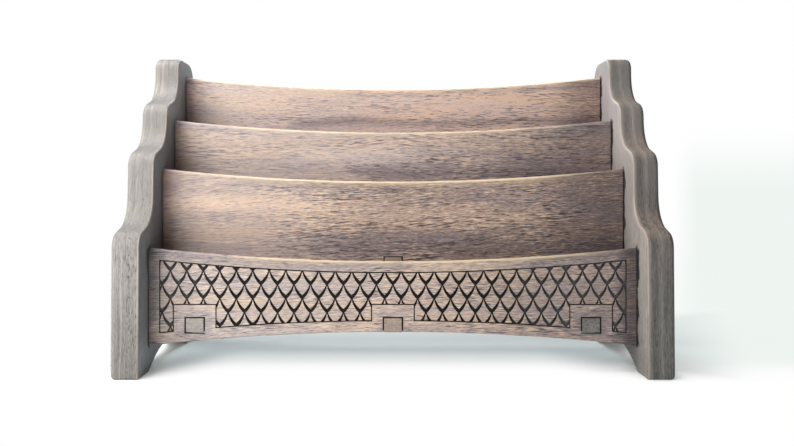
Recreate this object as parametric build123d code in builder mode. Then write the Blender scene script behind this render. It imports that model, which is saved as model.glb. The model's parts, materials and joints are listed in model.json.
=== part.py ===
from build123d import *
from math import atan2, ceil, floor, hypot, pi, sqrt, tan
import os

# Letter holder of dark stained wood, in millimetres.
# +X runs across the holder to the right, +Y runs to its back and +Z is up.
# The origin is the middle of its footprint, on the surface that it stands on.

# Whole holder
holder_width = 281.4
holder_depth = 115.0

# Each side is an outer and an inner board, glued face to face
outer_board = 8.1
inner_board = 6.3
outer_arris_radius = 2.6
inner_arris_radius = 1.3

# Stepped front edge of a side: each tier leans back a little, ends in a round shoulder
# and rises along a slope into the cove at the foot of the next tier
tier_pitch = 26.2
tier_lean = 1.8
top_tier_lean = 0.6
front_shoulder = 71.7
second_tier_rise = 41.5
third_tier_rise = 28.6
top_tier_rise = 30.3
slope_rise = 7.3
shoulder_radius = 9.0
cove_radius = 18.0
top_front_radius = 7.0
top_back_radius = 12.0

# Feet of a side, with the arch between them
front_foot = 18.5
back_foot = 9.5
arch_rise = 11.0
foot_corner_radius = 1.0
arch_toe_radius = 3.0

# Cross panels, each with a dished top edge and a tongue at each end in a slot of the side
panel_thickness = 4.0
front_panel_setback = 16.7
shoulder_over_panel = 7.2
top_over_back_panel = 9.3
lip_dish = 7.1
lip_radius = 1.8
front_arch = 7.0
front_arch_radius = 1.2
panel_skirt = 3.9
rebate_depth = 1.2
rebate_width = 0.8
slot_gap = 0.35

# Floor boards, with tenons through the panels in front of and behind them
floor_thickness = 7.3
lower_floor_height = 20.9
floor_step = 29.4
tenon_width = 9.2
tenon_spacing = 102.2
mortise_gap = 0.7

# Carving on the front panel: a border line round a fish-scale lattice
carving_depth = 1.2
border_line = 0.6
border_drop = 5.4
border_lift = 5.8
border_inset = 6.1
surround_width = 21.4
surround_lift = 6.8
scale_row = 7.2
scale_pitch = 8.5
lattice_lift = 17.3
scale_side_gap = 0.5
scale_tip_gap = 0.35
scale_foot_gap = 1.95
scale_flank_hollow = 0.68
scale_foot_bow = 0.4

# Worked out from the sizes above
half_width = holder_width / 2
inner_half_width = half_width - outer_board - inner_board
panel_half_length = inner_half_width + inner_board - slot_gap
front_edge = -holder_depth / 2
back_edge = holder_depth / 2
second_shoulder = front_shoulder + second_tier_rise
third_shoulder = second_shoulder + third_tier_rise
shoulders = [front_shoulder, second_shoulder, third_shoulder]
holder_height = third_shoulder + top_tier_rise
panel_tops = [height - shoulder_over_panel for height in shoulders] + [holder_height - top_over_back_panel]
panel_faces = [front_edge + front_panel_setback + tier * tier_pitch for tier in range(len(panel_tops))]
floor_heights = [lower_floor_height + tier * floor_step for tier in range(len(panel_tops) - 1)]
tenon_places = [-tenon_spacing, 0, tenon_spacing]
surround_top = lower_floor_height + floor_thickness + surround_lift
border_half_width = inner_half_width - border_inset + border_line / 2

os.makedirs("parts", exist_ok=True)


def save(part, name):
    """Label a finished piece with its node's name and write its STEP file."""
    part.label = name
    export_step(part, f"parts/{name}.step")


def lip_height(panel, x, drop=0.0):
    """Height at x of a panel's dished top edge, or of the curve parallel to it that lies drop lower."""
    radius = (inner_half_width**2 + lip_dish**2) / (2 * lip_dish)
    return panel_tops[panel] - lip_dish + radius - sqrt((radius + drop) ** 2 - x**2)


def foot_height(x, lift=0.0):
    """Height at x of the front panel's arched lower edge, or of the parallel curve that lies lift higher."""
    radius = (inner_half_width**2 + front_arch**2) / (2 * front_arch)
    return lower_floor_height - radius + sqrt((radius + lift) ** 2 - x**2)


def side_profile(plane):
    """Outline of a side board: three shoulders and coves, a rounded top, and two feet with an arch."""
    slope = hypot(tier_pitch - tier_lean, slope_rise)
    half_turn = tan((pi / 2 - atan2(slope_rise, tier_pitch - tier_lean)) / 2)
    tops = shoulders[1:] + [holder_height]
    uprights = [top - shoulder - slope_rise for top, shoulder in zip(tops, shoulders)]
    shortest_run = min([slope] + uprights)
    shoulder = min(shoulder_radius, 0.34 * shortest_run / half_turn)
    cove = min(cove_radius, 0.64 * shortest_run / half_turn)
    corners = [(front_edge, 0)]
    radii = []
    for tier, height in enumerate(shoulders):
        tier_front = front_edge + tier * tier_pitch
        corners += [(tier_front + tier_lean, height), (tier_front + tier_pitch, height + slope_rise)]
        radii += [shoulder, cove]
    top_front = front_edge + len(shoulders) * tier_pitch + top_tier_lean
    corners += [(top_front, holder_height), (back_edge, holder_height), (back_edge, 0)]
    radii += [min(top_front_radius, 0.34 * shortest_run), top_back_radius]
    arch_start = front_edge + front_foot
    arch_end = back_edge - back_foot
    with BuildSketch(plane) as profile:
        with BuildLine():
            FilletPolyline(corners, radius=radii)
            Line(corners[-1], corners[0])
        make_face()
        with BuildLine():
            arch = ThreePointArc((arch_start, 0), ((arch_start + arch_end) / 2, arch_rise), (arch_end, 0))
            Line(arch @ 0, arch @ 1)
        make_face(mode=Mode.SUBTRACT)
        arch_toes = profile.vertices().group_by(Axis.Y)[0].sort_by(Axis.X)[1:3]
        fillet(arch_toes, arch_toe_radius)
    return profile.sketch


def foot_corners(board):
    """Lower front and lower back edge of a side board."""
    floor_edges = board.edges().filter_by(Axis.X).group_by(Axis.Z)[0].sort_by(Axis.Y)
    return [floor_edges[0], floor_edges[-1]]


def panel_outline(panel, plane):
    """Outline of a cross panel: straight ends, a dished top edge and a straight or arched lower edge."""
    reach = panel_half_length
    with BuildSketch(plane) as outline:
        with BuildLine():
            lip = ThreePointArc(
                (-reach, lip_height(panel, reach)),
                (0, lip_height(panel, 0)),
                (reach, lip_height(panel, reach)),
            )
            if panel == 0:
                foot = ThreePointArc((-reach, foot_height(reach)), (0, foot_height(0)), (reach, foot_height(reach)))
            else:
                skirt = floor_heights[panel - 1] - panel_skirt
                foot = Line((-reach, skirt), (reach, skirt))
            Line(lip @ 0, foot @ 0)
            Line(lip @ 1, foot @ 1)
        make_face()
    return outline.sketch


def end_rebates(plane):
    """Strips at both ends of a panel, from just inside the pocket outwards, where its face is cut back."""
    strip = panel_half_length - inner_half_width + rebate_width
    with BuildSketch(plane) as rebates:
        with Locations((strip / 2 - panel_half_length, 0), (panel_half_length - strip / 2, 0)):
            Rectangle(strip, 2 * holder_height)
    return rebates.sketch


def mortises(panel, plane):
    """Holes in a panel for the tenons of the floor behind it and of the floor in front of it."""
    floors = [level for level in (panel - 1, panel) if 0 <= level < len(floor_heights)]
    places = [(x, floor_heights[level] + floor_thickness / 2) for level in floors for x in tenon_places]
    with BuildSketch(plane) as holes:
        with Locations(*places):
            Rectangle(tenon_width + 2 * mortise_gap, floor_thickness + 2 * mortise_gap)
    return holes.sketch


def lattice_field(margin):
    """Carved area inside the border, shrunk by margin, with a blank surround left over each mortise."""
    reach = border_half_width - margin
    drop = border_drop + margin
    lift = border_lift + margin
    with BuildSketch() as field:
        with BuildLine():
            upper = ThreePointArc(
                (-reach, lip_height(0, reach, drop)),
                (0, lip_height(0, 0, drop)),
                (reach, lip_height(0, reach, drop)),
            )
            lower = ThreePointArc(
                (-reach, foot_height(reach, lift)),
                (0, foot_height(0, lift)),
                (reach, foot_height(reach, lift)),
            )
            Line(upper @ 0, lower @ 0)
            Line(upper @ 1, lower @ 1)
        make_face()
        with Locations(*[(x, 0) for x in tenon_places]):
            Rectangle(surround_width + 2 * margin, 2 * (surround_top + margin), mode=Mode.SUBTRACT)
    return field.sketch


def fish_scale():
    """One raised scale of the lattice: hollow flanks up to its tip, full flanks down to its foot."""
    side = scale_pitch / 2 - scale_side_gap
    with BuildSketch() as scale:
        with BuildLine():
            tip = (0, scale_row - scale_tip_gap)
            left = (-side, 0)
            right = (side, 0)
            foot = (0, scale_foot_gap - scale_row)
            SagittaArc(tip, left, scale_flank_hollow)
            SagittaArc(left, foot, -scale_foot_bow)
            SagittaArc(foot, right, -scale_foot_bow)
            SagittaArc(right, tip, scale_flank_hollow)
        make_face()
    return scale.sketch


def scale_centres():
    """Centres of the scales over the whole field: every other row is moved by half a column."""
    row_of_centres = lower_floor_height + lattice_lift
    lowest = floor((foot_height(border_half_width) - row_of_centres) / scale_row)
    highest = ceil((panel_tops[0] - row_of_centres) / scale_row)
    columns = ceil(border_half_width / scale_pitch)
    centres = []
    for row in range(lowest, highest + 1):
        shift = scale_pitch / 2 if row % 2 else 0
        for column in range(-columns, columns + 1):
            centres.append((column * scale_pitch + shift, row_of_centres + row * scale_row))
    return centres


# Left and right sides, with the slots for the panels' tongues cut through the inner board
for side, outward in (("left", -1), ("right", 1)):
    outward_axis = Axis((0, 0, 0), (outward, 0, 0))

    with BuildPart() as outer_side:
        extrude(side_profile(Plane.YZ.offset(outward * half_width)), amount=-outward * outer_board)
        fillet(foot_corners(outer_side), foot_corner_radius)
        fillet(outer_side.faces().sort_by(outward_axis)[-1].edges(), outer_arris_radius)
    save(outer_side.part, f"{side}_side_outer")

    with BuildPart() as inner_side:
        extrude(side_profile(Plane.YZ.offset(outward * inner_half_width)), amount=outward * inner_board)
        inner_edges = inner_side.faces().sort_by(outward_axis)[0].edges()
        fillet(inner_edges.filter_by(lambda edge: edge.center().Z > arch_rise), inner_arris_radius)
        fillet(foot_corners(inner_side), foot_corner_radius)
        with BuildSketch(Plane.YZ.offset(outward * inner_half_width)):
            for panel, face in enumerate(panel_faces):
                slot_front = face + rebate_depth - slot_gap
                slot_back = face + panel_thickness + slot_gap
                slot_top = lip_height(panel, panel_half_length) + slot_gap
                lower_edge = floor_heights[panel - 1] - panel_skirt if panel else foot_height(panel_half_length)
                slot_foot = lower_edge - slot_gap
                with Locations(((slot_front + slot_back) / 2, (slot_top + slot_foot) / 2)):
                    Rectangle(slot_back - slot_front, slot_top - slot_foot)
        extrude(amount=outward * inner_board, mode=Mode.SUBTRACT)
    save(inner_side.part, f"{side}_side_inner")

# Cross panels, from the front to the back
for panel, name in enumerate(["front_panel", "second_panel", "third_panel", "back_panel"]):
    face_plane = Plane.XZ.offset(-panel_faces[panel])
    with BuildPart() as cross_panel:
        extrude(panel_outline(panel, face_plane), amount=-panel_thickness)
        top_arrises = cross_panel.edges().filter_by(GeomType.CIRCLE).group_by(Axis.Z)[-1]
        fillet(top_arrises, lip_radius)
        if panel == 0:
            fillet(cross_panel.edges().filter_by(GeomType.CIRCLE).group_by(Axis.Z)[0], front_arch_radius)
        extrude(end_rebates(face_plane), amount=-rebate_depth, mode=Mode.SUBTRACT)
        extrude(mortises(panel, face_plane), amount=-panel_thickness, mode=Mode.SUBTRACT)
        if panel == 0:
            with BuildSketch() as scales:
                with Locations(*scale_centres()):
                    add(fish_scale())
                add(lattice_field(border_line), mode=Mode.INTERSECT)
            with BuildSketch(face_plane):
                add(lattice_field(0))
                add(scales.sketch, mode=Mode.SUBTRACT)
            extrude(amount=-carving_depth, mode=Mode.SUBTRACT)
    save(cross_panel.part, name)

# Floor boards, each between two panels, with tenons to the far faces of both
for level, name in enumerate(["lower_floor", "middle_floor", "upper_floor"]):
    board_front = panel_faces[level] + panel_thickness
    board_back = panel_faces[level + 1]
    with BuildPart() as floor_board:
        with BuildSketch(Plane.XY.offset(floor_heights[level])):
            with Locations((0, (board_front + board_back) / 2)):
                Rectangle(2 * inner_half_width, board_back - board_front)
                with Locations(*[(x, 0) for x in tenon_places]):
                    Rectangle(tenon_width, board_back - board_front + 2 * panel_thickness)
        extrude(amount=floor_thickness)
    save(floor_board.part, name)
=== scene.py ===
import bmesh
import bpy
import json
from math import pi, radians
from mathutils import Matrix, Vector

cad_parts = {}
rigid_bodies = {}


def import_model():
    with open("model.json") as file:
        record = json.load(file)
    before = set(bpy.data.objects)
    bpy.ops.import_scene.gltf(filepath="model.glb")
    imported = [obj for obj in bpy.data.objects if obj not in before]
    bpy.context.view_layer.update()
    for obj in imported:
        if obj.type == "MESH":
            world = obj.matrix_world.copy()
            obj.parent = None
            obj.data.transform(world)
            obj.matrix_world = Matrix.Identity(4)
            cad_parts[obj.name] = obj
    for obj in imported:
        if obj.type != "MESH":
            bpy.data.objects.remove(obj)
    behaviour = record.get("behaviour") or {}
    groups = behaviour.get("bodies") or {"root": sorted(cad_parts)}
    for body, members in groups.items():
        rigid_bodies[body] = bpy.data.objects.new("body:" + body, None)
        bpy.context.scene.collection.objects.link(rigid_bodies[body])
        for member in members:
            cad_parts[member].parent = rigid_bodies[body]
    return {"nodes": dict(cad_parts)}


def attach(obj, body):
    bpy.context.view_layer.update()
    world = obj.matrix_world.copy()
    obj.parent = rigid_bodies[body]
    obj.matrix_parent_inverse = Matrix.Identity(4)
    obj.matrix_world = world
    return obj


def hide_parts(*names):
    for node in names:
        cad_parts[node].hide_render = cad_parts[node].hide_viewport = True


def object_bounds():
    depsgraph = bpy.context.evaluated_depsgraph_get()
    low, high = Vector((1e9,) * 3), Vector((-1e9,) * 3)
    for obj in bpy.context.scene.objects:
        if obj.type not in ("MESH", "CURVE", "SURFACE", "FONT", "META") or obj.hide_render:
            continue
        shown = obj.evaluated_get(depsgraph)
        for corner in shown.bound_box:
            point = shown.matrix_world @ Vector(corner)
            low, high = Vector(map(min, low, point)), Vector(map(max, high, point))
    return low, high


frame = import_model()
cad_low, cad_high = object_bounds()
scene = bpy.context.scene

# Camera: level, a little above the middle of the holder and 420 mm in front of its feet.
# The lens shift only moves the picture down, as the photograph frames it.
PHOTO_WIDTH = 794
PHOTO_MIDDLE_ROW = 223
HORIZON_ROW = 190
FOCAL_PIXELS = 847
CAMERA_DISTANCE = 0.420
CAMERA_HEIGHT = 0.0943
CAMERA_ASIDE = 0.0021
NEAREST_SEEN = 0.01
camera = bpy.data.objects.new("camera", bpy.data.cameras.new("camera"))
scene.collection.objects.link(camera)
camera.location = (CAMERA_ASIDE, cad_low.y - CAMERA_DISTANCE, CAMERA_HEIGHT)
camera.rotation_euler = (pi / 2, 0, 0)
camera.data.lens = camera.data.sensor_width * FOCAL_PIXELS / PHOTO_WIDTH
camera.data.shift_y = (HORIZON_ROW - PHOTO_MIDDLE_ROW) / PHOTO_WIDTH
camera.data.clip_start = NEAREST_SEEN
scene.camera = camera
scene.view_settings.view_transform = "Standard"

# Table and wall: a white sheet under the holder and a white wall well behind it.
# Both turn faintly green-grey to the right, a painted shade of the holder's shadow and of the light
# falling off there, and the sheet keeps the holder's shadow. Its paint greys towards the back as
# painted shade under the holder.
WHITE = (1.0, 1.0, 1.0)
# The sheet's paint greys backwards as painted shade under the holder.
NEAR_SHEET = (0.95, 1.0, 0.99)
SHADED_FAR_SHEET = (0.61, 0.64, 0.635)
RIGHT_SHADE_COLOR = (0.86, 0.915, 0.885)
SHEET_REACH = 1.6
WALL_PLACE = 1.0
# Ramps, here and below: where a change starts, where it ends and, if not 0 and 1, its two values
SHADE_SLANT = -0.35
SHADE_RIGHTWARDS = (0.125, 0.18)
SHADE_BACKWARDS = (-0.055, 0.0)
SHADE_DOWN_WALL = (0.22, 0.08)
PAINTED_SHADE_BACKWARDS = (0.012, 0.068)
WALL_GREY = 0.5
GLOW_FORWARDS = (0.034, -0.040)
GLOW_LEFTWARDS = (-0.138, -0.150)
GLOW_BACKWARDS = (0.08, 0.19)
GLOW_SLANT = -0.31
GLOW_RIGHTWARDS = (0.145, 0.205, 0.0, 0.5)
GLOW_AT_RIGHT_FOOT = (0.122, 0.137, 0.0, 0.48)
DULL_AT_LEFT_FOOT = (-0.085, -0.130, 0.0, 0.042)
DULL_AT_RIGHT_FOOT = (0.080, 0.125, 0.0, 0.028)
CONTACT_REACH = 0.012
CONTACT_DULLING = (0.45, 0.95, 0.35, 1.0)


def add_node(tree, kind, inputs=None, **settings):
    """Add a node: settings are its properties, inputs are values or sockets by name or number."""
    node = tree.nodes.new(kind)
    for key, value in settings.items():
        setattr(node, key, value)
    for key, value in (inputs or {}).items():
        if isinstance(value, bpy.types.NodeSocket):
            tree.links.new(value, node.inputs[key])
        else:
            node.inputs[key].default_value = value
    return node


def calculate(tree, operation, *values):
    """One arithmetic step on numbers or sockets."""
    return add_node(tree, "ShaderNodeMath", dict(enumerate(values)), operation=operation).outputs[0]


def chain(tree, operation, values):
    """Numbers or sockets joined one after the other by the same operation."""
    result = values[0]
    for value in values[1:]:
        result = calculate(tree, operation, result, value)
    return result


def total(tree, *values):
    """Sum of several numbers or sockets."""
    return chain(tree, "ADD", values)


def product(tree, *values):
    """Product of several numbers or sockets."""
    return chain(tree, "MULTIPLY", values)


def highest(tree, *values):
    """Greatest of several numbers or sockets."""
    return chain(tree, "MAXIMUM", values)


def rise(tree, value, low, high, start=0.0, end=1.0):
    """Smooth step from start, where value is at or below low, to end, where it is at or above high."""
    inputs = {"Value": value, "From Min": low, "From Max": high, "To Min": start, "To Max": end}
    return add_node(tree, "ShaderNodeMapRange", inputs, interpolation_type="SMOOTHSTEP").outputs[0]


def mix_colors(tree, share, first, second, blend="MIX"):
    """First colour where share is 0, second colour (or its blend over the first) where share is 1."""
    node = add_node(tree, "ShaderNodeMix", data_type="RGBA", blend_type=blend)
    for socket, value in zip((node.inputs[0], node.inputs[6], node.inputs[7]), (share, first, second)):
        if isinstance(value, bpy.types.NodeSocket):
            tree.links.new(value, socket)
        elif socket.type == "RGBA":
            socket.default_value = (*value, 1)
        else:
            socket.default_value = value
    return node.outputs[2]


def object_place(tree):
    """X, Y and Z sockets of the point on the object, in metres."""
    place = add_node(tree, "ShaderNodeTexCoord").outputs["Object"]
    return add_node(tree, "ShaderNodeSeparateXYZ", {0: place}).outputs


def openness(tree, reach, own_piece_only=False):
    """Share of the surroundings within reach that is free: 1 on an open surface, near 0 in a gap."""
    node = add_node(tree, "ShaderNodeAmbientOcclusion", {"Distance": reach}, samples=8,
                    only_local=own_piece_only)
    return node.outputs["AO"]


def right_shade_share(tree, place):
    """Share of the painted grey-green shade, right of a line running back and outwards beside the holder.
    """
    aside = calculate(tree, "MULTIPLY_ADD", place["Y"], SHADE_SLANT, place["X"])
    return rise(tree, aside, *SHADE_RIGHTWARDS)


def table_look(tree, place):
    """Painted grey-green shade, glow and painted greying of the paint of the table. It glows except
    under the holder, close to its right and where a foot touches it, and at both feet the dull part
    reaches further to the front."""
    x, y = place["X"], place["Y"]
    shade_share = product(tree, right_shade_share(tree, place), rise(tree, y, *SHADE_BACKWARDS))
    ahead = total(tree, y, rise(tree, x, *DULL_AT_LEFT_FOOT), rise(tree, x, *DULL_AT_RIGHT_FOOT))
    beside = calculate(tree, "MULTIPLY_ADD", y, GLOW_SLANT, x)
    right = total(tree, rise(tree, x, *GLOW_AT_RIGHT_FOOT), rise(tree, beside, *GLOW_RIGHTWARDS))
    glow = highest(tree, rise(tree, ahead, *GLOW_FORWARDS), rise(tree, x, *GLOW_LEFTWARDS), right)
    glow = product(tree, glow, rise(tree, openness(tree, CONTACT_REACH), *CONTACT_DULLING))
    glow = highest(tree, glow, rise(tree, y, *GLOW_BACKWARDS))
    return shade_share, glow, rise(tree, y, *PAINTED_SHADE_BACKWARDS)


def wall_look(tree, place):
    """Painted grey-green shade, glow and paint grey of the wall: white but for that shade, which fades
    upwards.
    """
    shade_share = product(tree, right_shade_share(tree, place), rise(tree, place["Z"], *SHADE_DOWN_WALL))
    return shade_share, 1.0, WALL_GREY


def stage_sheet(name, near, far, look):
    """White sheet from a near to a far edge, each given as (Y, Z). The camera sees it lifted towards
    its own glow, by the share that look gives. The glow holds the painted grey-green shade, and the
    paint greys as painted shade by the share that look gives too."""
    mesh = bpy.data.meshes.new(name)
    corners = [(-SHEET_REACH, *near), (SHEET_REACH, *near), (SHEET_REACH, *far), (-SHEET_REACH, *far)]
    mesh.from_pydata(corners, [], [(0, 1, 2, 3)])
    sheet = bpy.data.objects.new(name, mesh)
    scene.collection.objects.link(sheet)
    material = bpy.data.materials.new(name)
    material.use_nodes = True
    tree = material.node_tree
    tree.nodes.clear()
    shade_share, glow, painted_shade_share = look(tree, object_place(tree))
    light = add_node(tree, "ShaderNodeEmission", {"Color": mix_colors(tree, shade_share, WHITE, RIGHT_SHADE_COLOR)})
    color = mix_colors(tree, painted_shade_share, NEAR_SHEET, SHADED_FAR_SHEET)
    paint = add_node(tree, "ShaderNodeBsdfDiffuse", {"Color": color})
    seen = add_node(tree, "ShaderNodeLightPath").outputs["Is Camera Ray"]
    share = product(tree, seen, glow)
    blend = add_node(tree, "ShaderNodeMixShader", {0: share, 1: paint.outputs[0], 2: light.outputs[0]})
    add_node(tree, "ShaderNodeOutputMaterial", {"Surface": blend.outputs[0]})
    mesh.materials.append(material)


stage_sheet("table", (-SHEET_REACH, 0), (WALL_PLACE, 0), table_look)
stage_sheet("wall", (WALL_PLACE, 0), (WALL_PLACE, SHEET_REACH), wall_look)

# Light: a soft window close to the left front, a second one high on the left, a white ceiling
# behind the holder, and the weak cool light of the room. The near window makes the left much
# brighter than the right.
WINDOWS = [("left window", (-0.30, -0.30, 0.22), 1.8, (1.0, 0.96, 0.93)),
           ("high window", (-0.30, 0.0, 0.50), 3.3, (1.0, 0.985, 0.97)),
           ("pale ceiling", (0.0, 0.45, 0.55), 2.6, (0.88, 0.95, 1.0))]
WINDOW_SIZE = 0.30
WINDOW_AIM = (0.0, 0.0, 0.08)
ROOM_COLOR = (0.86, 0.93, 1.0)
ROOM_STRENGTH = 0.15
for name, place, power, color in WINDOWS:
    window = bpy.data.objects.new(name, bpy.data.lights.new(name, "AREA"))
    scene.collection.objects.link(window)
    window.data.size = WINDOW_SIZE
    window.data.energy = power
    window.data.color = color
    window.location = place
    window.rotation_euler = (window.location - Vector(WINDOW_AIM)).to_track_quat("Z", "Y").to_euler()
room = bpy.data.worlds.new("room")
scene.world = room
room.use_nodes = True
tree = room.node_tree
tree.nodes.clear()
seen = add_node(tree, "ShaderNodeLightPath")
lit = add_node(tree, "ShaderNodeBackground", {"Color": (*ROOM_COLOR, 1), "Strength": ROOM_STRENGTH})
plain = add_node(tree, "ShaderNodeBackground", {"Color": (*WHITE, 1), "Strength": 1.0})
both = add_node(tree, "ShaderNodeMixShader",
                {0: seen.outputs["Is Camera Ray"], 1: lit.outputs[0], 2: plain.outputs[0]})
add_node(tree, "ShaderNodeOutputWorld", {"Surface": both.outputs[0]})

# Side boards: each side is two boards glued face to face, stained dark, with rubbed arrises that are
# partly painted highlight.
# Each keeps its imported shape, with its triangles merged so that curves shade smoothly.
MERGE_DISTANCE = 1e-6
FLAT_ANGLE = radians(0.5)
SHARP_ANGLE = radians(40)
SIDE_EDGE_ROUND = 0.0001


def whole_board(node, piece_name, edge_round):
    """Piece in place of a packed board: triangles merged, flat areas whole, outer edges rounded."""
    shape = bmesh.new()
    shape.from_mesh(frame["nodes"][node].data)
    bmesh.ops.remove_doubles(shape, verts=shape.verts, dist=MERGE_DISTANCE)
    bmesh.ops.dissolve_limit(shape, angle_limit=FLAT_ANGLE, verts=shape.verts, edges=shape.edges)
    outer_edges = [edge for edge in shape.edges
                   if edge.is_manifold and edge.calc_face_angle_signed() > SHARP_ANGLE]
    bmesh.ops.bevel(shape, geom=outer_edges, offset=edge_round, segments=2, profile=0.5,
                    affect="EDGES", clamp_overlap=True)
    mesh = bpy.data.meshes.new(piece_name)
    shape.to_mesh(mesh)
    shape.free()
    mesh.shade_smooth()
    mesh.set_sharp_from_angle(angle=SHARP_ANGLE)
    piece = bpy.data.objects.new(piece_name, mesh)
    scene.collection.objects.link(piece)
    normals = piece.modifiers.new("flat faces stay flat", "WEIGHTED_NORMAL")
    normals.keep_sharp = True
    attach(piece, "root")
    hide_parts(node)
    return piece


# Grain of the stained wood: cells per metre along, across and through a board, from coarse to fine
WANDER_CELLS = (9, 30, 22)
WANDER = 0.009
FIGURE_CELLS = (11, 90, 30)
STREAK_CELLS = (45, 1500, 200)
FIBRE_CELLS = (360, 2200, 400)
DASH_CELLS = (190, 2100, 300)
PATCH_CELLS = (26, 120, 60)
PATCHINESS = 0.35
PORE_LEVELS = (0.40, 0.30)
FLECK_LEVELS = (0.60, 0.70)
STREAK_HEIGHT = 0.4
FIBRE_HEIGHT = 0.6
PORE_HEIGHT = -0.5


def vector_of(tree, x=0.0, y=0.0, z=0.0):
    """Vector from three numbers or sockets."""
    return add_node(tree, "ShaderNodeCombineXYZ", {0: x, 1: y, 2: z}).outputs[0]


def on_vectors(tree, operation, first, second):
    """One arithmetic step on two vectors, each a socket or three numbers."""
    return add_node(tree, "ShaderNodeVectorMath", {0: first, 1: second}, operation=operation).outputs[0]


def stretched_noise(tree, place, cells, detail, roughness=0.5):
    """Noise with so many cells per metre along each of the three directions of place."""
    stretched = on_vectors(tree, "MULTIPLY", place, cells)
    inputs = {"Vector": stretched, "Scale": 1.0, "Detail": detail, "Roughness": roughness}
    return add_node(tree, "ShaderNodeTexNoise", inputs).outputs[0]


def spread(tree, value, amount):
    """Noise value round 0.5 turned into an addition of up to about half the amount either way."""
    return product(tree, calculate(tree, "SUBTRACT", value, 0.5), amount)


def stained_grain_group():
    """Grain of stained wood as values. Place is along, across and through the grain, in metres.
    Figure, Streaks and Fibres are noise round 0.5, ever finer; Pores marks short dark dashes, Flecks
    short pale ones (both tails of one noise); Relief is the height of the surface, 0 to about 1."""
    group = bpy.data.node_groups.new("stained grain", "ShaderNodeTree")
    group.interface.new_socket(name="Place", in_out="INPUT", socket_type="NodeSocketVector")
    place = group.nodes.new("NodeGroupInput").outputs["Place"]
    wander = spread(group, stretched_noise(group, place, WANDER_CELLS, 1.0), WANDER)
    bent = on_vectors(group, "ADD", place, vector_of(group, y=wander))
    streaks = stretched_noise(group, bent, STREAK_CELLS, 3.0, 0.55)
    fibres = stretched_noise(group, bent, FIBRE_CELLS, 1.0, 0.6)
    dashes = stretched_noise(group, bent, DASH_CELLS, 1.0, 0.4)
    patches = spread(group, stretched_noise(group, bent, PATCH_CELLS, 1.0), PATCHINESS)
    pores = rise(group, calculate(group, "SUBTRACT", dashes, patches), *PORE_LEVELS)
    relief = total(group, product(group, streaks, STREAK_HEIGHT), product(group, fibres, FIBRE_HEIGHT),
                   product(group, pores, PORE_HEIGHT))
    values = {"Figure": stretched_noise(group, bent, FIGURE_CELLS, 3.0),
              "Streaks": streaks,
              "Fibres": fibres,
              "Pores": pores,
              "Flecks": rise(group, total(group, dashes, patches), *FLECK_LEVELS),
              "Relief": relief}
    out = group.nodes.new("NodeGroupOutput")
    for name, value in values.items():
        group.interface.new_socket(name=name, in_out="OUTPUT", socket_type="NodeSocketFloat")
        group.links.new(value, out.inputs[name])
    return group


stained_grain = stained_grain_group()


def new_material(name, roughness, specular):
    """Material with a Principled shader; its tree and that shader are given back with it."""
    material = bpy.data.materials.new(name)
    material.use_nodes = True
    tree = material.node_tree
    tree.nodes.clear()
    inputs = {"Roughness": roughness, "Specular IOR Level": specular}
    finish = add_node(tree, "ShaderNodeBsdfPrincipled", inputs)
    add_node(tree, "ShaderNodeOutputMaterial", {"Surface": finish.outputs[0]})
    return material, tree, finish


def grain_at(tree, along, across, through, start):
    """Grain group read at a point: sockets along, across and through the board, and a start in metres."""
    moved = on_vectors(tree, "ADD", vector_of(tree, along, across, through), start)
    return add_node(tree, "ShaderNodeGroup", {"Place": moved}, node_tree=stained_grain).outputs


def tone_color(tree, tone, stops):
    """Colour for a tone from 0, darkest, to 1, palest, through stops of (tone, linear colour)."""
    node = add_node(tree, "ShaderNodeValToRGB", {0: tone})
    ramp = node.color_ramp
    while len(ramp.elements) < len(stops):
        ramp.elements.new(0.5)
    for element, (position, color) in zip(ramp.elements, stops):
        element.position = position
        element.color = (*color, 1)
    return node.outputs[0]


def mix_values(tree, share, first, second):
    """First value where share is 0, second value where it is 1."""
    return add_node(tree, "ShaderNodeMix", {0: share, 2: first, 3: second}, data_type="FLOAT").outputs[0]


def soft_line(tree, value, middle, half_width):
    """1 where the value is the middle, falling smoothly to 0 at half_width to either side."""
    away = calculate(tree, "ABSOLUTE", calculate(tree, "SUBTRACT", value, middle))
    return rise(tree, away, 0.0, half_width, 1.0, 0.0)


def between(tree, value, low, high, blur):
    """1 from low to high, falling smoothly to 0 over blur outside them."""
    return product(tree, rise(tree, value, low - blur, low), rise(tree, value, high, high + blur, 1, 0))


def bump(tree, finish, height, depth):
    """Fine relief on the shader: height 1 stands depth metres above height 0."""
    lift = add_node(tree, "ShaderNodeBump", {"Height": height, "Distance": depth, "Strength": 1.0})
    tree.links.new(lift.outputs[0], finish.inputs["Normal"])


# Stain of the side boards, by how far a surface faces inwards, its depth from the outer face and height
SIDE_TONES = [(0.0, (0.022, 0.020, 0.020)), (0.3, (0.100, 0.093, 0.088)), (0.6, (0.250, 0.236, 0.221)),
              (1.0, (0.520, 0.490, 0.450))]
HALF_WIDTH = cad_high.x
SIDE_THICKNESS = 0.0144
ON_FACE = (0.70, 0.90)
ON_FLAT_FACE = (0.80, 0.95)
ON_EDGE = (0.75, 0.45)
ON_SHOULDER = (0.45, 0.80)
SIDE_FIGURE = 0.20
SIDE_STREAKS = 0.42
SIDE_FIBRES = 0.42
SIDE_PORES = -0.15
SIDE_RELIEF = 0.00012
ROUGHER_DOWNWARDS = (0.13, 0.05, 0.35, 1.0)
STRIPE_WANDER = 0.0016
ABOVE_LOWEST_TIER = (0.06, 0.10)
STRIPES_COME_AND_GO = (0.35, 0.60, 0.5, 1.0)
PINK_STREAKS = (0.36, 0.58)
PIT_ROWS = [(0.0092, 0.0016), (0.0129, 0.0010)]
PIT_CELLS = (1300, 620, 700)
PIT_LEVELS = (0.40, 0.34)
INNER_FACE_FOOT = (0.008, 0.025)
INNER_FACE_TOP = (0.130, 0.140)
INNER_FACE_SHOULDER = (0.158, 0.166)
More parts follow.
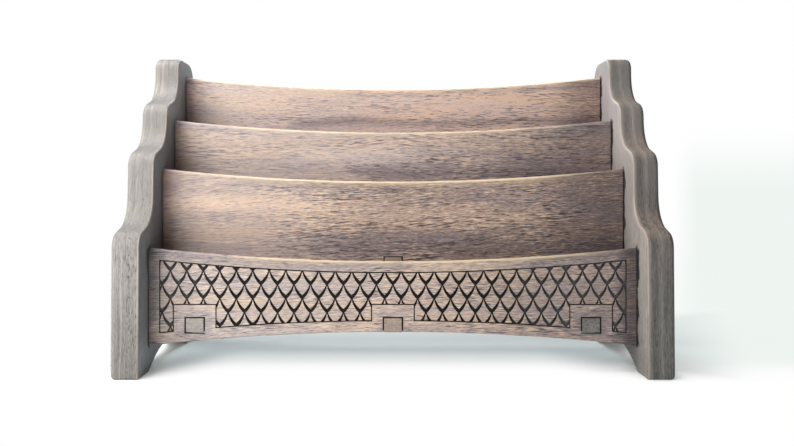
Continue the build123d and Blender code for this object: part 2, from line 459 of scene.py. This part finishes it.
INNER_TINT_UPWARDS = (0.10, 0.16)
RUDDY_BELOW = (0.150, 0.115)
RUDDY_ABOVE = (0.040, 0.060)
ARRIS_TURN = (0.45, 0.38)
ARRIS_MARGIN = 0.0004
ARRIS_STREAKS = (0.25, 0.55, 0.35, 1.0)
ARRIS_UPWARDS = (0.012, 0.040, 0.5, 0.9)
SHOULDER_FIBRES = (0.40, 0.60)
PANEL_NAMES = ["front_panel", "second_panel", "third_panel", "back_panel"]
SLIT_CELLS = (110, 9, 1)
SLIT_END = 0.002
SLIT_OVERLAP = 0.0005
SLIT_WIDENS_FROM = 0.016
SLIT_WIDENS_TO = 0.010
SLIT_WIDENING = 0.0016
DRIED_GLUE = (0.38, 0.38, 0.40)
GLUE_HALF_HEIGHT = 0.0012
GLUE_LEVELS = (0.3, 0.5)
# What each side has of its own. inward is the X direction towards the pockets. A stripe is (depth from
# the outer face, half its width, change of tone, share of pink). inner_tones are the changes of tone
# of the inner face at its foot, above it, at the top tier and at the top shoulder. These, the inner
# tints and the left side's higher tone are partly painted light: the right inner face, turned to the
# left window, is painted lighter, and the left one, turned from it, bluer and, above its foot, darker.
SIDE_LOOKS = {
    "left": {
        "inward": 1, "tone": 0.592, "foot_shade": (0.060, 0.008, 0.0, -0.15),
        "top_fade": (0.10, 0.16, 0.0, -0.02), "edge_tint": WHITE,
        "stripes": [(0.0042, 0.0006, -0.08, 0.0), (0.0053, 0.0008, 0.06, 0.5),
                    (0.0084, 0.0005, -0.10, 0.0)],
        "lowest_stripes": 1.0, "pink": (0.42, 0.33, 0.29), "pit_tone": -0.26,
        "inner_tones": (0.045, -0.075, 0.20, 0.15),
        "inner_tint": (0.92, 1.0, 1.13), "top_inner_tint": (0.95, 1.0, 1.08),
        "arris": (0.68, 0.54, 0.45), "arris_width": 0.0014, "turn_wear_and_highlight": 0.9,
        "shoulder": (0.12, 0.115, 0.11), "shoulder_cover": (0.30, 0.75),
        "slit_shade_color": (0.060, 0.062, 0.068), "slit_waves": 0.005, "slit_reach": -0.0022,
        "slit_panels": PANEL_NAMES[:1], "glue_heights": []},
    "right": {
        "inward": -1, "tone": 0.510, "foot_shade": (0.065, 0.042, 0.0, -0.050),
        "top_fade": (0.094, 0.132, -0.088, 0.025), "edge_tint": (1.02, 0.955, 0.94),
        "stripes": [(0.0070, 0.0014, 0.20, 0.3), (0.0084, 0.0004, 0.12, 0.2), (0.0104, 0.0020, -0.05, 0.0),
                    (0.0018, 0.0010, 0.07, 0.0)],
        "lowest_stripes": 0.7, "pink": (0.30, 0.21, 0.18), "pit_tone": 0.0,
        "inner_tones": (0.05, 0.175, -0.035, 0.0),
        "inner_tint": (0.99, 0.945, 0.94), "top_inner_tint": (1.0, 0.98, 1.06),
        "arris": (0.47, 0.385, 0.33), "arris_width": 0.0030, "turn_wear_and_highlight": 0.6,
        "shoulder": (0.36, 0.27, 0.20), "shoulder_cover": (0.0, 0.5),
        "slit_shade_color": (0.028, 0.026, 0.030), "slit_waves": 0.014, "slit_reach": -0.0062,
        "slit_panels": PANEL_NAMES, "glue_heights": [0.0392, 0.0433, 0.1475, 0.1500]},
}


def laminate_stripes(tree, look, grain, across, z, on_edge):
    """Change of tone and share of pink of the stripes that the layers of a side make on its edges."""
    strength = product(tree, on_edge, rise(tree, z, *ABOVE_LOWEST_TIER, look["lowest_stripes"], 1.0),
                       rise(tree, grain["Figure"], *STRIPES_COME_AND_GO))
    tone = 0.0
    pink = 0.0
    for place, half_width, change, share in look["stripes"]:
        line = soft_line(tree, across, place, half_width)
        tone = calculate(tree, "MULTIPLY_ADD", line, change, tone)
        pink = calculate(tree, "MULTIPLY_ADD", line, share, pink)
    pink_streaks = rise(tree, grain["Streaks"], *PINK_STREAKS)
    return product(tree, tone, strength), product(tree, pink, strength, pink_streaks)


def edge_pits(tree, across, place, on_edge):
    """Mask of the small dark pits, in rows along the edges of a side."""
    rows = highest(tree, *[soft_line(tree, across, row, half_width) for row, half_width in PIT_ROWS])
    dots = stretched_noise(tree, vector_of(tree, place["X"], place["Z"], place["Y"]), PIT_CELLS, 1.0)
    return product(tree, rise(tree, dots, *PIT_LEVELS), rows, on_edge)


def inner_face_tone(tree, look, z):
    """Change of tone of the inner face with its height, partly painted light and shade."""
    foot, above, top, shoulder = look["inner_tones"]
    return total(tree, rise(tree, z, *INNER_FACE_FOOT, foot, above),
                 rise(tree, z, *INNER_FACE_TOP, 0.0, top),
                 rise(tree, z, *INNER_FACE_SHOULDER, 0.0, shoulder))


def side_tint(tree, look, z, on_face):
    """Tint of a side: one on its inner face, changing upwards, and one on the middle of its edges. The blue
    of the left inner face is partly painted cool shade.
    """
    inner = mix_colors(tree, rise(tree, z, *INNER_TINT_UPWARDS), look["inner_tint"], look["top_inner_tint"])
    ruddy = product(tree, rise(tree, z, *RUDDY_BELOW), rise(tree, z, *RUDDY_ABOVE))
    edge = mix_colors(tree, ruddy, WHITE, look["edge_tint"])
    return mix_colors(tree, on_face, edge, inner)


def rubbed_arris_and_highlight(tree, look, grain, depth, turned_in, z, on_edge):
    """Mask of the rubbed inner arris: its round, and a strip of the edge beside it. Both are wear and
    partly a painted highlight of the window on the round; the wide strip on the right stands in for the
    light on a rounder arris.
    """
    turn = product(tree, soft_line(tree, turned_in, *ARRIS_TURN), look["turn_wear_and_highlight"])
    strip = rise(tree, depth, SIDE_THICKNESS - look["arris_width"], SIDE_THICKNESS - ARRIS_MARGIN)
    return product(tree, highest(tree, turn, product(tree, on_edge, strip)),
                   rise(tree, grain["Streaks"], *ARRIS_STREAKS), rise(tree, z, *ARRIS_UPWARDS))


def painted_slit_shade(tree, look, y, z):
    """Mask of the painted shade of the gaps on a side board in front of its slit_panels: the flat face is
    painted dark where a gap would lie in shade. They come forward in waves, and further beside the top
    of a panel."""
    wavy = stretched_noise(tree, vector_of(tree, z, look["inward"]), SLIT_CELLS, 2.5)
    reach = calculate(tree, "MULTIPLY_ADD", wavy, look["slit_waves"], look["slit_reach"])
    mask = 0.0
    for name in look["slit_panels"]:
        corners = frame["nodes"][name].bound_box
        face = min(corner[1] for corner in corners)
        top = max(corner[2] for corner in corners)
        foot = min(corner[2] for corner in corners)
        ahead = calculate(tree, "SUBTRACT", face, y)
        widening = rise(tree, z, top - SLIT_WIDENS_FROM, top - SLIT_WIDENS_TO, 0.0, SLIT_WIDENING)
        close = calculate(tree, "LESS_THAN", ahead, total(tree, reach, widening))
        behind = calculate(tree, "GREATER_THAN", ahead, -SLIT_OVERLAP)
        strip = product(tree, close, behind, rise(tree, z, foot, foot + SLIT_END),
                        rise(tree, z, top, top - SLIT_END))
        mask = highest(tree, mask, strip)
    return mask


def side_material(side, look):
    """Stained side board: vertical grain, stripes and pits on the edges, a pale rubbed inner arris that is
    partly a painted highlight, shoulders darker on the left as painted shade and paler on the right as
    wear, and painted shade of the gaps, with bits of dried glue, at the panels."""
    material, tree, finish = new_material(f"{side} side stain", 0.55, 0.45)
    place = object_place(tree)
    x, y, z = place
    facing = add_node(tree, "ShaderNodeNewGeometry").outputs["Normal"]
    normal_x, _, normal_z = add_node(tree, "ShaderNodeSeparateXYZ", {0: facing}).outputs
    turned_in = product(tree, normal_x, look["inward"])
    on_face = rise(tree, turned_in, *ON_FACE)
    on_edge = rise(tree, calculate(tree, "ABSOLUTE", normal_x), *ON_EDGE)
    depth = calculate(tree, "MULTIPLY_ADD", x, look["inward"], HALF_WIDTH)
    grain_start = (0.3 * look["inward"], 0.1, 0.2)
    grain = grain_at(tree, z, mix_values(tree, on_edge, y, x), y, grain_start)
    across = total(tree, depth, spread(tree, grain["Figure"], STRIPE_WANDER))
    stripes, pink = laminate_stripes(tree, look, grain, across, z, on_edge)
    fine = total(tree, spread(tree, grain["Streaks"], SIDE_STREAKS),
                 spread(tree, grain["Fibres"], SIDE_FIBRES),
                 product(tree, grain["Pores"], SIDE_PORES),
                 product(tree, edge_pits(tree, across, place, on_edge), look["pit_tone"]))
    tone = total(tree, look["tone"], stripes, spread(tree, grain["Figure"], SIDE_FIGURE),
                 product(tree, fine, rise(tree, z, *ROUGHER_DOWNWARDS)), rise(tree, z, *look["top_fade"]),
                 product(tree, rise(tree, z, *look["foot_shade"]), on_edge),
                 product(tree, inner_face_tone(tree, look, z), on_face))
    color = mix_colors(tree, pink, tone_color(tree, tone, SIDE_TONES), look["pink"])
    color = mix_colors(tree, 1.0, color, side_tint(tree, look, z, on_face), "MULTIPLY")
    # Pale inner arris: wear and partly painted highlight.
    arris = rubbed_arris_and_highlight(tree, look, grain, depth, turned_in, z, on_edge)
    color = mix_colors(tree, arris, color, look["arris"])
    # Shoulders: darker on the left as painted shade, paler on the right as wear.
    shoulder = product(tree, rise(tree, normal_z, *ON_SHOULDER), on_edge,
                       rise(tree, grain["Fibres"], *SHOULDER_FIBRES, *look["shoulder_cover"]))
    color = mix_colors(tree, shoulder, color, look["shoulder"])
    # Painted shade of the gaps in front of the panels, with pale dried glue in them.
    slit_shade_mask = product(tree, painted_slit_shade(tree, look, y, z), rise(tree, turned_in, *ON_FLAT_FACE))
    bits = [soft_line(tree, z, height, GLUE_HALF_HEIGHT) for height in look["glue_heights"]]
    glue = rise(tree, highest(tree, 0.0, *bits), *GLUE_LEVELS)
    color = mix_colors(tree, slit_shade_mask, color, mix_colors(tree, glue, look["slit_shade_color"], DRIED_GLUE))
    tree.links.new(color, finish.inputs["Base Color"])
    bump(tree, finish, grain["Relief"], SIDE_RELIEF)
    return material


for side, look in SIDE_LOOKS.items():
    stain = side_material(side, look)
    for layer in ("outer", "inner"):
        board = whole_board(f"{side}_side_{layer}", f"{side}_side_{layer}_board", SIDE_EDGE_ROUND)
        board.data.materials.append(stain)

# Cross panels: thin stained boards with their grain along the holder, open pores and rubbed upper
# edges, whose pale band is partly a painted highlight. Their tongues are glued into the side boards;
# the front one is carved.
PANEL_EDGE_ROUND = 0.0002
PANEL_TONES = [(0.0, (0.070, 0.054, 0.052)), (0.25, (0.130, 0.100, 0.095)), (0.5, (0.235, 0.181, 0.166)),
               (0.75, (0.420, 0.327, 0.284)), (1.0, (0.690, 0.543, 0.455))]
COOL_STAIN = (0.955, 0.985, 1.07)
WARM_STAIN = (1.045, 0.99, 0.905)
WARM_LEVELS = (0.34, 0.66)
WARMTH_OF_GRAIN = 0.7
WARMTH_OF_BANDS = 0.8
# Painted shade: the ruddy colour of the left side board's shadow on the left ends of the panels.
RUDDY_END_SHADE = (1.18, 1.04, 1.03)
SHADE_AT_LEFT_END = (-0.1150, -0.1245)
LEFT_TO_RIGHT = (-0.10, 0.04)
PANEL_FIGURE = 0.20
PANEL_STREAKS = 0.50
PANEL_FIBRES = 0.65
PANEL_PORES = -0.45
PANEL_FLECKS = 0.20
PANEL_RELIEF = 0.00015
WAVE_CELLS = (25, 60, 1)
WAVE_UPWARDS = 0.006
WAVE_ALONG = 0.03
BAND_BLUR = 0.02
WORN_LIP_AND_HIGHLIGHT = (0.72, 0.56, 0.37)
LIP_BLUR = 0.05
LIP_ARRIS = (0.0026, 0.0008)
LIP_SOFT_WEAR = (0.0055, 0.0012)
LIP_STREAKS = (0.3, 0.5, 0.5, 1.0)
LIP_DISH = 0.0071
INNER_HALF_WIDTH = 0.1263
TENON_PLACES = (-0.1022, 0.0, 0.1022)
TENON_HALF_WIDTH = 0.0046
LOWER_TENON_HEIGHTS = (0.0209, 0.0282)
SMUDGE_REACH = 0.006
SMUDGE_TONE = -0.10
SMUDGE_WARMTH = -0.20
# What each panel has of its own. The grain climbs to the right by slant. contrast is that of the grain
# at the left and at the right, and from and to which X it changes. A fade is (from X, to X, change of
# tone). The fades at the left ends are painted shade of the left side board, and the ruddy tint there
# is that shade's colour; the fades towards the right are partly painted light falling off from the
# left window and partly darker stain at the right ends. A band is (depth, half its width, change of
# tone, from X, to X), a paler or darker strip: bands fall to the right by tilt, lip bands keep their
# depth below the dished lip. lip is (from X, to X, wear of the arris, softer wear below it).
PANEL_LOOKS = {
    "front_panel": {
        "tone": 0.775, "slant": 0.02, "tilt": 0.0, "contrast": (0.8, 1.0, -0.08, 0.0),
        "left_stain": (0.955, 1.01, 1.05), "right_stain": (0.985, 0.995, 1.01), "left_end_shade": WHITE,
        "fades": [(-0.095, -0.112, -0.09), (-0.118, -0.125, -0.25), (0.0, 0.11, -0.165),
                  (0.112, 0.123, -0.41)],
        "bands": [],
        "lip_bands": [(0.0028, 0.0045, -0.18, -0.12, 0.0), (0.0028, 0.0050, -0.22, 0.082, 0.13)],
        "lip": (-0.05, 0.08, 0.75, 0.3)},
    "second_panel": {
        "tone": 0.785, "slant": 0.045, "tilt": 0.05, "contrast": (0.4, 1.3, -0.09, -0.03),
        "left_stain": WHITE, "right_stain": (1.01, 0.98, 0.98), "left_end_shade": RUDDY_END_SHADE,
        "fades": [(-0.116, -0.1262, -0.12), (-0.065, -0.005, -0.17), (0.075, 0.115, -0.27)],
        "bands": [(0.017, 0.008, 0.12, -0.12, 0.08), (0.004, 0.004, -0.10, -0.07, 0.0),
                  (0.034, 0.012, -0.12, -0.04, 0.12), (0.038, 0.0006, 0.12, -0.126, -0.07)],
        "lip_bands": [], "lip": (-0.07, 0.07, 1.0, 0.35)},
    "third_panel": {
        "tone": 0.835, "slant": 0.0, "tilt": 0.02, "contrast": (0.5, 1.0, -0.05, 0.03),
        "left_stain": (0.95, 0.99, 1.05), "right_stain": (0.98, 0.99, 1.03), "left_end_shade": RUDDY_END_SHADE,
        "fades": [(-0.03, 0.03, -0.02), (0.030, 0.120, -0.32)],
        "bands": [(0.024, 0.008, -0.20, -0.01, 0.12), (0.014, 0.008, 0.14, -0.045, 0.0)],
        "lip_bands": [], "lip": (-0.07, 0.07, 0.85, 0.35)},
    "back_panel": {
        "tone": 0.88, "slant": 0.0, "tilt": 0.0, "contrast": (0.6, 0.9, -0.05, 0.03),
        "left_stain": (0.96, 0.99, 1.05), "right_stain": (1.05, 0.985, 0.97), "left_end_shade": RUDDY_END_SHADE,
        "fades": [(-0.06, 0.05, 0.125), (0.085, 0.120, -0.45)],
        "bands": [(0.021, 0.005, -0.26, -0.05, 0.12)],
        "lip_bands": [(0.0045, 0.0025, -0.12, -0.02, 0.12)], "lip": (-0.1, 0.1, 0.85, 0.25)},
}


def panel_bands(tree, look, wave, about_x, under_lip, under_level):
    """Changes of tone of the bands of a panel, and their sum, which also warms or cools it. The darker
    bands low on a panel are painted shade under the panel in front.
    """
    ripple = spread(tree, wave, WAVE_UPWARDS)
    changes = []
    for depth_below, bands in ((under_level, look["bands"]), (under_lip, look["lip_bands"])):
        measure = calculate(tree, "SUBTRACT", depth_below, ripple)
        for depth, half_width, change, from_x, to_x in bands:
            changes.append(product(tree, soft_line(tree, measure, depth, half_width),
                                   between(tree, about_x, from_x, to_x, BAND_BLUR), change))
    return changes, total(tree, 0.0, *changes)


def tenon_smudge(tree, x, z):
    """Mask of the dirty wood round the lowest tenons."""
    beside = [between(tree, x, place - TENON_HALF_WIDTH, place + TENON_HALF_WIDTH, SMUDGE_REACH)
              for place in TENON_PLACES]
    return product(tree, highest(tree, *beside), between(tree, z, *LOWER_TENON_HEIGHTS, SMUDGE_REACH))


def panel_stain(tree, look, x, warmth):
    """Tint of a panel: cool or warm with its grain, changing from its left to its right, and ruddy at its
    left end, painting the colour of the side board's shade there.
    """
    stain = mix_colors(tree, rise(tree, warmth, *WARM_LEVELS), COOL_STAIN, WARM_STAIN)
    ends = mix_colors(tree, rise(tree, x, *LEFT_TO_RIGHT), look["left_stain"], look["right_stain"])
    stain = mix_colors(tree, 1.0, stain, ends, "MULTIPLY")
    return mix_colors(tree, rise(tree, x, *SHADE_AT_LEFT_END), stain, look["left_end_shade"], "MULTIPLY")


def rubbed_lip_and_highlight(tree, look, grain, x, under_lip):
    """Mask of the rubbed upper edge: its arris, and softer wear a little further down. Both are wear and
    partly a painted highlight of the light from above.
    """
    from_x, to_x, arris_wear_and_highlight, soft_wear = look["lip"]
    arris = product(tree, rise(tree, under_lip, *LIP_ARRIS), rise(tree, grain["Streaks"], *LIP_STREAKS))
    worn_and_highlit = highest(tree, arris, rise(tree, under_lip, *LIP_SOFT_WEAR, 0.0, soft_wear))
    return product(tree, worn_and_highlit, between(tree, x, from_x, to_x, LIP_BLUR), arris_wear_and_highlight)


def panel_material(name, look, start):
    """Stained panel: grain along X, pores and flecks, pale and dark bands, and a rubbed upper arris that is
    partly a painted highlight.
    """
    material, tree, finish = new_material(f"{name} walnut", 0.5, 0.5)
    x, y, z = object_place(tree)
    top = max(corner[2] for corner in frame["nodes"][name].bound_box)
    lip = calculate(tree, "MULTIPLY_ADD", product(tree, x, x), LIP_DISH / INNER_HALF_WIDTH ** 2,
                    top - LIP_DISH)
    under_lip = calculate(tree, "SUBTRACT", lip, z)
    tilted = calculate(tree, "MULTIPLY_ADD", x, look["tilt"], z)
    under_level = calculate(tree, "SUBTRACT", top - LIP_DISH, tilted)
    grain = grain_at(tree, x, calculate(tree, "MULTIPLY_ADD", x, -look["slant"], z), y, start)
    wave = stretched_noise(tree, vector_of(tree, x, z, start[1]), WAVE_CELLS, 2.0)
    about_x = total(tree, x, spread(tree, wave, WAVE_ALONG))
    low_contrast, high_contrast, from_x, to_x = look["contrast"]
    contrast = rise(tree, about_x, from_x, to_x, low_contrast, high_contrast)
    fine = total(tree, spread(tree, grain["Streaks"], PANEL_STREAKS),
                 spread(tree, grain["Fibres"], PANEL_FIBRES),
                 product(tree, grain["Pores"], PANEL_PORES), product(tree, grain["Flecks"], PANEL_FLECKS))
    fades = [rise(tree, about_x, from_x, to_x, 0.0, change) for from_x, to_x, change in look["fades"]]
    bands, golden = panel_bands(tree, look, wave, about_x, under_lip, under_level)
    smudge = tenon_smudge(tree, x, z)
    golden = calculate(tree, "MULTIPLY_ADD", smudge, SMUDGE_WARMTH, golden)
    tone = total(tree, look["tone"], spread(tree, grain["Figure"], PANEL_FIGURE),
                 product(tree, fine, contrast), *fades, *bands, product(tree, smudge, SMUDGE_TONE))
    warmth = total(tree, product(tree, golden, WARMTH_OF_BANDS), grain["Figure"],
                   product(tree, fine, WARMTH_OF_GRAIN))
    color = mix_colors(tree, 1.0, tone_color(tree, tone, PANEL_TONES),
                       panel_stain(tree, look, x, warmth), "MULTIPLY")
    # Pale upper edge: wear and partly a painted highlight.
    color = mix_colors(tree, rubbed_lip_and_highlight(tree, look, grain, x, under_lip), color, WORN_LIP_AND_HIGHLIGHT)
    tree.links.new(color, finish.inputs["Base Color"])
    bump(tree, finish, grain["Relief"], PANEL_RELIEF)
    return material


for number, (name, look) in enumerate(PANEL_LOOKS.items()):
    panel = whole_board(name, f"{name}_board", PANEL_EDGE_ROUND)
    panel.data.materials.append(panel_material(name, look, (0.7 * number, 0.13 * number, 0.1)))

# Cuts in the panels: the carved lattice of the front one, the mortises, and the rebates at the right
# ends. The carving is stained charcoal; in the mortises and rebates the same charcoal is painted shade
# of their gaps, and the blackness along all their walls is painted shade. The cuts are faces of the
# panels, found by their place, so this charcoal adds no piece.
CARVING_DEPTH = 0.0012
CUT_MARGIN = 0.0001
CARVED_HALF_WIDTH = 0.1215
BORDER_LIFT = 0.0035
REBATE_WIDTH = 0.0009
MORTISE_HALF_WIDTH = 0.0056
MORTISE_HEIGHTS = [(0.0199, 0.0292), (0.0493, 0.0586), (0.0787, 0.0880)]
FACING_FRONT = 0.9
CHARCOAL_TONES = [(0.0, (0.004, 0.003, 0.003)), (0.5, (0.030, 0.028, 0.030)), (1.0, (0.100, 0.100, 0.108))]
CHARCOAL_TONE = -0.26
CHARCOAL_STREAKS = 0.3
CHARCOAL_FIBRES = 0.4
CHARCOAL_RELIEF = 0.0002
WALL_REACH = 0.0008
PAINTED_WALL_SHADE = (0.25, 0.85, 0.0, 0.38)
PALER_LEFTWARDS = (-0.080, -0.112, 0.0, 0.54)
PALER_RIGHTWARDS = (0.035, 0.095, 0.0, 0.80)
IN_RIGHT_REBATE = (0.1252, 0.1256, 0.0, 0.30)
REBATE_CELLS = (170, 1, 1)
REBATE_LEVELS = (0.42, 0.54)
charcoal, tree, finish = new_material("charcoal cuts", 0.7, 0.3)
x, y, z = object_place(tree)
grain = grain_at(tree, x, z, y, (0.9, 0.4, 0.1))
open_share = openness(tree, WALL_REACH, own_piece_only=True)
patchy = rise(tree, stretched_noise(tree, vector_of(tree, z), REBATE_CELLS, 1.0), *REBATE_LEVELS)
# Painted shade: darker near the walls of the cuts, paler away from them.
tone = total(tree, CHARCOAL_TONE, rise(tree, open_share, *PAINTED_WALL_SHADE),
             spread(tree, grain["Streaks"], CHARCOAL_STREAKS),
             spread(tree, grain["Fibres"], CHARCOAL_FIBRES),
             highest(tree, rise(tree, x, *PALER_LEFTWARDS), rise(tree, x, *PALER_RIGHTWARDS)),
             product(tree, patchy, rise(tree, x, *IN_RIGHT_REBATE)))
tree.links.new(tone_color(tree, tone, CHARCOAL_TONES), finish.inputs["Base Color"])
bump(tree, finish, grain["Relief"], CHARCOAL_RELIEF)
for number, name in enumerate(PANEL_NAMES):
    panel = bpy.data.objects[f"{name}_board"]
    mortise_heights = MORTISE_HEIGHTS[max(number - 1, 0):number + 1]
    panel.data.materials.append(charcoal)
    corners = [Vector(corner) for corner in frame["nodes"][name].bound_box]
    face_place = min(corner.y for corner in corners)
    top = max(corner.z for corner in corners)
    foot = min(corner.z for corner in corners)
    for face in panel.data.polygons:
        dish = LIP_DISH * (1 - (face.center.x / INNER_HALF_WIDTH) ** 2)
        cut_depth = face.center.y - face_place
        cut = CUT_MARGIN < cut_depth < CARVING_DEPTH + CUT_MARGIN
        carved = (name == "front_panel" and abs(face.center.x) < CARVED_HALF_WIDTH
                  and foot + dish + BORDER_LIFT < face.center.z < top - dish - BORDER_LIFT)
        at_end = INNER_HALF_WIDTH - REBATE_WIDTH < face.center.x < INNER_HALF_WIDTH
        in_mortise = (abs(face.normal.y) < FACING_FRONT
                      and any(abs(face.center.x - place) < MORTISE_HALF_WIDTH for place in TENON_PLACES)
                      and any(low < face.center.z < high for low, high in mortise_heights))
        if (cut and (carved or at_end)) or in_mortise:
            face.material_index = panel.data.materials.find(charcoal.name)

# Floors: three stained boards, each between two panels. Their tenons go through the panels and show
# their speckled end grain at the front, in dark gaps, where their colour is darkened as painted shade.
FLOOR_EDGE_ROUND = 0.0002
FLOOR_TONES = [(0.0, (0.020, 0.018, 0.018)), (0.4, (0.145, 0.131, 0.120)), (1.0, (0.420, 0.375, 0.335))]
FLOOR_TONE = 0.5
FLOOR_FIGURE = 0.3
FLOOR_FIBRES = 0.5
FLOOR_RELIEF = 0.00015
FACES_FRONT = (-0.6, -0.9)
END_TONE = 0.72
SPECKLE_CELLS = (800, 1100, 60)
SPECKLE = 0.90
SMUDGE_CELLS = (160, 300, 60)
SMUDGE = 0.45
DARKER_RIGHTWARDS = (0.05, 0.09, 0.0, -0.22)
MIDDLE_TENON = (1.10, 0.97, 0.88)
END_TENON = (0.97, 1.0, 1.04)
IN_MIDDLE = (0.03, 0.015)
GAP_REACH = 0.0015
PAINTED_GAP_SHADE = (0.30, 0.90, -0.75, 0.0)
floor_stain, tree, finish = new_material("floor stain", 0.6, 0.4)
x, y, z = object_place(tree)
facing = add_node(tree, "ShaderNodeNewGeometry").outputs["Normal"]
faces_front = rise(tree, add_node(tree, "ShaderNodeSeparateXYZ", {0: facing}).outputs["Y"], *FACES_FRONT)
long_grain = grain_at(tree, x, y, z, (0.2, 0.3, 0.4))
long_tone = total(tree, FLOOR_TONE, spread(tree, long_grain["Figure"], FLOOR_FIGURE),
                  spread(tree, long_grain["Fibres"], FLOOR_FIBRES))
end_place = vector_of(tree, x, z, y)
end_tone = total(tree, END_TONE, spread(tree, stretched_noise(tree, end_place, SMUDGE_CELLS, 2.0), SMUDGE),
                 spread(tree, stretched_noise(tree, end_place, SPECKLE_CELLS, 2.0, 0.7), SPECKLE),
                 rise(tree, x, *DARKER_RIGHTWARDS))
# Painted shade: darker where the boards lie close to other wood, in the gaps.
tone = total(tree, mix_values(tree, faces_front, long_tone, end_tone),
             rise(tree, openness(tree, GAP_REACH), *PAINTED_GAP_SHADE))
in_middle = rise(tree, calculate(tree, "ABSOLUTE", x), *IN_MIDDLE)
color = mix_colors(tree, 1.0, tone_color(tree, tone, FLOOR_TONES),
                   mix_colors(tree, in_middle, END_TENON, MIDDLE_TENON), "MULTIPLY")
tree.links.new(color, finish.inputs["Base Color"])
bump(tree, finish, long_grain["Relief"], FLOOR_RELIEF)
for name in ("lower_floor", "middle_floor", "upper_floor"):
    floor_board = whole_board(name, f"{name}_board", FLOOR_EDGE_ROUND)
    floor_board.data.materials.append(floor_stain)
